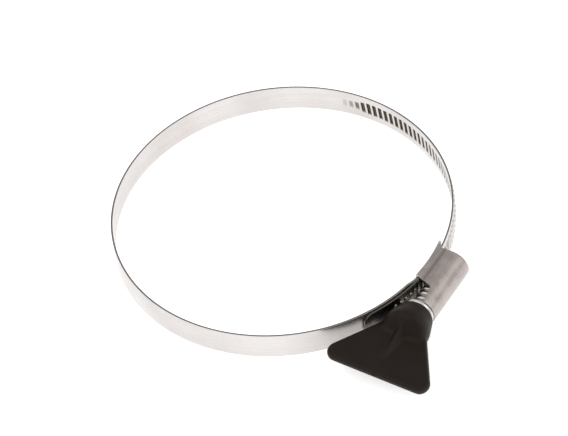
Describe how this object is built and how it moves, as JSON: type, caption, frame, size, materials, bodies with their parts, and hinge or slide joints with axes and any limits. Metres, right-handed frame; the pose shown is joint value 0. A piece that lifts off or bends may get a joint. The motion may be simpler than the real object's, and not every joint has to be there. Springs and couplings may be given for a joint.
{
  "type": "hose clamp",
  "caption": "Worm-drive hose clamp: threaded stainless band looped through a pressed housing, tightened by a screw with a black plastic wing handle.",
  "frame": {"origin": "on the hose axis, at the middle of the band's width", "axes": "+Z along the hose axis; +X from the hose axis to the screw housing; the screw axis is parallel to Y and the handle points to -Y"},
  "size_m": [0.1246, 0.1043, 0.0146],
  "materials": {
    "band": "bright rolled stainless strip",
    "housing": "dull zinc-plated pressed sheet",
    "screw": "bright plated turned steel",
    "handle": "satin black moulded plastic"
  },
  "bodies": {
    "clamp": {"housing": "housing", "band_fixed_end": "band"},
    "screw": {"worm_screw": "screw", "wing_handle": "handle"},
    "threaded_end": {"band_threaded_end": "band"},
    "band_length_01": {"band_length_01": "band"},
    "band_length_02": {"band_length_02": "band"},
    "band_length_03": {"band_length_03": "band"},
    "band_length_04": {"band_length_04": "band"},
    "band_length_05": {"band_length_05": "band"},
    "band_length_06": {"band_length_06": "band"},
    "band_length_07": {"band_length_07": "band"},
    "band_length_08": {"band_length_08": "band"},
    "band_length_09": {"band_length_09": "band"},
    "band_length_10": {"band_length_10": "band"},
    "band_length_11": {"band_length_11": "band"},
    "band_length_12": {"band_length_12": "band"},
    "band_length_13": {"band_length_13": "band"},
    "band_length_14": {"band_length_14": "band"},
    "band_length_15": {"band_length_15": "band"},
    "band_length_16": {"band_length_16": "band"}
  },
  "joints": [
    {"name": "screw_turn", "type": "hinge", "parent": "clamp", "child": "screw", "pos_m": [0.0561, 0, 0], "axis": [0, 1, 0], "range_deg": [-2160, 5400]},
    {"name": "band_feed", "type": "hinge", "parent": "clamp", "child": "threaded_end", "pos_m": [0, 0, 0], "axis": [0, 0, -1], "range_deg": [-14.08, 35.2]},
    {"name": "bend_01", "type": "hinge", "parent": "clamp", "child": "band_length_01", "pos_m": [-0.00212, -0.00213, 0], "axis": [0, 0, -1], "range_deg": [-13.31, 33.28]},
    {"name": "bend_02", "type": "hinge", "parent": "clamp", "child": "band_length_02", "pos_m": [-0.0037, -0.00516, 0], "axis": [0, 0, -1], "range_deg": [-12.53, 31.32]},
    {"name": "bend_03", "type": "hinge", "parent": "clamp", "child": "band_length_03", "pos_m": [-0.00445, -0.00907, 0], "axis": [0, 0, -1], "range_deg": [-11.71, 29.28]},
    {"name": "bend_04", "type": "hinge", "parent": "clamp", "child": "band_length_04", "pos_m": [-0.00405, -0.01366, 0], "axis": [0, 0, -1], "range_deg": [-10.87, 27.16]},
    {"name": "bend_05", "type": "hinge", "parent": "clamp", "child": "band_length_05", "pos_m": [-0.00231, -0.01862, 0], "axis": [0, 0, -1], "range_deg": [-10, 25.01]},
    {"name": "bend_06", "type": "hinge", "parent": "clamp", "child": "band_length_06", "pos_m": [0.00087, -0.02351, 0], "axis": [0, 0, -1], "range_deg": [-9.14, 22.86]},
    {"name": "bend_07", "type": "hinge", "parent": "clamp", "child": "band_length_07", "pos_m": [0.00537, -0.02781, 0], "axis": [0, 0, -1], "range_deg": [-8.32, 20.79]},
    {"name": "bend_08", "type": "hinge", "parent": "clamp", "child": "band_length_08", "pos_m": [0.01084, -0.03111, 0], "axis": [0, 0, -1], "range_deg": [-7.54, 18.85]},
    {"name": "bend_09", "type": "hinge", "parent": "clamp", "child": "band_length_09", "pos_m": [0.01676, -0.03313, 0], "axis": [0, 0, -1], "range_deg": [-6.83, 17.07]},
    {"name": "bend_10", "type": "hinge", "parent": "clamp", "child": "band_length_10", "pos_m": [0.02257, -0.03385, 0], "axis": [0, 0, -1], "range_deg": [-6.19, 15.47]},
    {"name": "bend_11", "type": "hinge", "parent": "clamp", "child": "band_length_11", "pos_m": [0.02791, -0.03341, 0], "axis": [0, 0, -1], "range_deg": [-5.61, 14.01]},
    {"name": "bend_12", "type": "hinge", "parent": "clamp", "child": "band_length_12", "pos_m": [0.03272, -0.03203, 0], "axis": [0, 0, -1], "range_deg": [-5.04, 12.59]},
    {"name": "bend_13", "type": "hinge", "parent": "clamp", "child": "band_length_13", "pos_m": [0.03722, -0.02969, 0], "axis": [0, 0, -1], "range_deg": [-4.41, 11.03]},
    {"name": "bend_14", "type": "hinge", "parent": "clamp", "child": "band_length_14", "pos_m": [0.04158, -0.02612, 0], "axis": [0, 0, -1], "range_deg": [-3.64, 9.1]},
    {"name": "bend_15", "type": "hinge", "parent": "clamp", "child": "band_length_15", "pos_m": [0.04568, -0.02102, 0], "axis": [0, 0, -1], "range_deg": [-2.63, 6.58]},
    {"name": "bend_16", "type": "hinge", "parent": "clamp", "child": "band_length_16", "pos_m": [0.04904, -0.01421, 0], "axis": [0, 0, -1], "range_deg": [-1.36, 3.41]}
  ],
  "couplings": [
    {"joint": "band_feed", "follows": "screw_turn", "ratio": 0.0063903},
    {"joint": "bend_01", "follows": "screw_turn", "ratio": 0.0060419},
    {"joint": "bend_02", "follows": "screw_turn", "ratio": 0.0056868},
    {"joint": "bend_03", "follows": "screw_turn", "ratio": 0.0053162},
    {"joint": "bend_04", "follows": "screw_turn", "ratio": 0.0049318},
    {"joint": "bend_05", "follows": "screw_turn", "ratio": 0.00454},
    {"joint": "bend_06", "follows": "screw_turn", "ratio": 0.0041506},
    {"joint": "bend_07", "follows": "screw_turn", "ratio": 0.0037746},
    {"joint": "bend_08", "follows": "screw_turn", "ratio": 0.0034223},
    {"joint": "bend_09", "follows": "screw_turn", "ratio": 0.0031001},
    {"joint": "bend_10", "follows": "screw_turn", "ratio": 0.0028095},
    {"joint": "bend_11", "follows": "screw_turn", "ratio": 0.0025441},
    {"joint": "bend_12", "follows": "screw_turn", "ratio": 0.002286},
    {"joint": "bend_13", "follows": "screw_turn", "ratio": 0.0020028},
    {"joint": "bend_14", "follows": "screw_turn", "ratio": 0.0016515},
    {"joint": "bend_15", "follows": "screw_turn", "ratio": 0.0011944},
    {"joint": "bend_16", "follows": "screw_turn", "ratio": 0.00061925}
  ]
}
